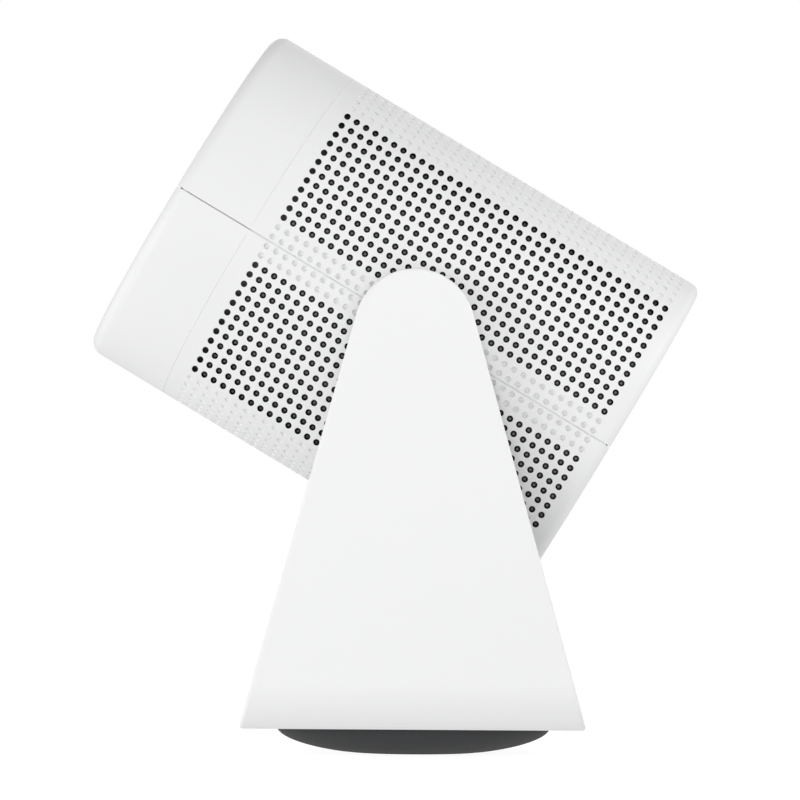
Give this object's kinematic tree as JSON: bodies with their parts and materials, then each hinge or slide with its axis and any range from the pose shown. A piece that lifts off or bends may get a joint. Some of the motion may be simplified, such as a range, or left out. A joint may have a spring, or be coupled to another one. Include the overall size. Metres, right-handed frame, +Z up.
{
  "type": "air circulator fan",
  "caption": "Desk air circulator: perforated drum with ducted impeller, tilting in a U-shaped stand that swivels on a weighted round foot.",
  "frame": {"origin": "centre of the foot's flat underside, on the swivel axis", "axes": "+Z up, X along the tilt pivot, the fan blows towards -Y and up by 30.8 degrees as stored"},
  "size_m": [0.181, 0.2468, 0.2912],
  "materials": {
    "shell_plastic": "fine satin moulded",
    "stand_plastic": "fine satin moulded",
    "liner_plastic": "fine satin moulded",
    "grille_plastic": "satin moulded",
    "duct_plastic": "satin moulded",
    "impeller_plastic": "satin moulded",
    "bracket_plastic": "moulded",
    "cover_plastic": "satin moulded",
    "box_plastic": "moulded",
    "knob_plastic": "satin moulded",
    "pointer_plastic": "moulded",
    "foot_plastic": "fine textured moulded",
    "pad_rubber": "moulded rubber",
    "screen_mesh": "fine woven mesh",
    "bush_plastic": "acetal",
    "socket_plastic": "moulded",
    "board_laminate": "solder mask",
    "lead_jacket": "smooth jacket",
    "steel": "zinc plated",
    "core_steel": "laminated",
    "copper_wire": "enamelled copper wire",
    "magnet": "sintered",
    "cast_iron": "as cast"
  },
  "bodies": {
    "foot": {"foot_base": "foot_plastic", "foot_cover": "foot_plastic", "foot_ballast": "cast_iron", "foot_pad": "pad_rubber", "foot_screws": "steel", "glide_ring": "bush_plastic", "swivel_spindle": "steel", "swivel_washer": "steel", "swivel_nut": "steel"},
    "stand": {"stand_outer": "stand_plastic", "stand_inner": "liner_plastic", "stand_screws": "steel", "pivot_bushes": "bush_plastic"},
    "drum": {"shell_upper": "shell_plastic", "shell_lower": "shell_plastic", "trunnion_right": "bracket_plastic", "trunnion_left": "bracket_plastic", "trunnion_screws": "steel", "friction_washers": "bush_plastic", "wave_washers": "steel", "pivot_caps": "steel", "pivot_screws": "steel", "front_grille": "grille_plastic", "grille_cap": "grille_plastic", "air_duct": "duct_plastic", "motor_bracket": "bracket_plastic", "bracket_screws": "steel", "motor_bearings": "steel", "motor_board": "board_laminate", "motor_stator": "core_steel", "motor_windings": "copper_wire", "dust_screens": "screen_mesh", "rear_cover": "cover_plastic", "rear_screws": "steel", "control_box": "box_plastic", "control_board": "board_laminate", "rotary_switch": "socket_plastic", "power_socket": "socket_plastic", "lead_conduit": "box_plastic", "motor_lead": "lead_jacket"},
    "rotor": {"impeller": "impeller_plastic", "impeller_nut": "steel", "rotor_cup": "steel", "rotor_magnet": "magnet", "motor_shaft": "steel"},
    "knob": {"speed_knob": "knob_plastic", "knob_pointer": "pointer_plastic", "switch_shaft": "steel"}
  },
  "joints": [
    {"name": "stand_swivel", "type": "hinge", "parent": "foot", "child": "stand", "pos_m": [0, 0, 0.012], "axis": [0, 0, 1], "range_deg": [-45, 45]},
    {"name": "drum_tilt", "type": "hinge", "parent": "stand", "child": "drum", "pos_m": [0, 0, 0.172], "axis": [-1, 0, 0], "range_deg": [-60.8, 59.2]},
    {"name": "impeller_spin", "type": "hinge", "parent": "drum", "child": "rotor", "pos_m": [0, 0, 0.172], "axis": [0, -0.859, 0.512], "continuous": true},
    {"name": "speed_dial", "type": "hinge", "parent": "drum", "child": "knob", "pos_m": [0, 0.06872, 0.13104], "axis": [0, -0.859, 0.512], "range_deg": [0, 120]}
  ]
}
